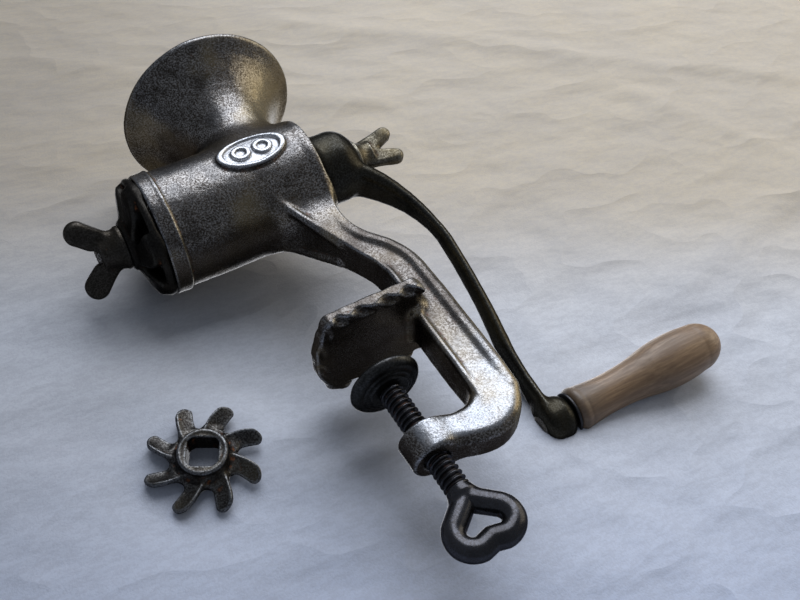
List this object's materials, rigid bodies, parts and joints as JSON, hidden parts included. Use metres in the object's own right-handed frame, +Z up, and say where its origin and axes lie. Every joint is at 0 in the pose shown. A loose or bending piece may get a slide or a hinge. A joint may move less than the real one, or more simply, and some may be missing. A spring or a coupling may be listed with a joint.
{
  "type": "hand-cranked food chopper",
  "caption": "Small hand-cranked food chopper in cast iron, with a feed screw, changeable cutter, wooden crank grip and a screw clamp for a table edge.",
  "frame": {"origin": "underside of the upper clamp jaw, on the clamp screw's axis", "axes": "+Z up as clamped to a table edge, -X towards the cutter end of the barrel, +X towards the crank"},
  "size_m": [0.2283, 0.0921, 0.2367],
  "materials": {
    "tinned_iron": "worn tinned casting, speckled, satin",
    "feed_iron": "worn casting, satin",
    "cutter_iron": "dark casting with a little rust in the hollows",
    "nut_iron": "dark brown casting, satin",
    "crank_iron": "worn tinned casting with bright edges",
    "thumb_iron": "light worn casting",
    "pin_steel": "dull drawn steel",
    "washer_iron": "blackened",
    "beech": "turned, bare, satin",
    "clamp_iron": "blackened, smooth bow and rusty thread crests",
    "pad_iron": "blackened, smooth",
    "star_iron": "dark casting, grey-blue on the collar, a little rust"
  },
  "bodies": {
    "casting": {"body_casting": "tinned_iron", "star_cutter": "star_iron"},
    "feed_shaft": {"feed_screw": "feed_iron"},
    "cutter": {"front_cutter": "cutter_iron"},
    "front_nut": {"front_wing_nut": "nut_iron"},
    "crank": {"crank_arm": "crank_iron", "grip_pin": "pin_steel", "grip_washer": "washer_iron"},
    "thumb": {"thumb_screw": "thumb_iron"},
    "grip": {"wooden_grip": "beech"},
    "pad": {"swivel_pad": "pad_iron"},
    "clamp": {"clamp_screw": "clamp_iron"}
  },
  "joints": [
    {"name": "crank_turn", "type": "hinge", "parent": "casting", "child": "feed_shaft", "pos_m": [0, 0, 0.0889], "axis": [1, 0, 0], "continuous": true},
    {"name": "crank_release", "type": "slide", "parent": "feed_shaft", "child": "crank", "axis": [1, 0, 0], "range_m": [0, 0.012]},
    {"name": "thumb_turn", "type": "hinge", "parent": "crank", "child": "thumb", "pos_m": [0.0451, 0, 0.0889], "axis": [1, 0, 0], "range_deg": [0, 2884]},
    {"name": "cutter_release", "type": "slide", "parent": "feed_shaft", "child": "cutter", "axis": [-1, 0, 0], "range_m": [0, 0.008]},
    {"name": "wing_nut_turn", "type": "hinge", "parent": "cutter", "child": "front_nut", "pos_m": [-0.0546, 0, 0.0889], "axis": [-1, 0, 0], "range_deg": [0, 2308]},
    {"name": "grip_spin", "type": "hinge", "parent": "crank", "child": "grip", "pos_m": [0.1, 0.04319, -0.03869], "axis": [1, 0, 0], "continuous": true},
    {"name": "pad_slide", "type": "slide", "parent": "casting", "child": "pad", "axis": [0, 0, 1], "range_m": [-0.019, 0.0104]},
    {"name": "clamp_turn", "type": "hinge", "parent": "pad", "child": "clamp", "pos_m": [0, 0, -0.0175], "axis": [0, 0, 1], "range_deg": [-3262, 1788]}
  ],
  "couplings": [
    {"joint": "thumb_turn", "follows": "crank_release", "rad_per_m": 4188.8},
    {"joint": "wing_nut_turn", "follows": "cutter_release", "rad_per_m": 5026.5},
    {"joint": "clamp_turn", "follows": "pad_slide", "rad_per_m": 2992}
  ]
}
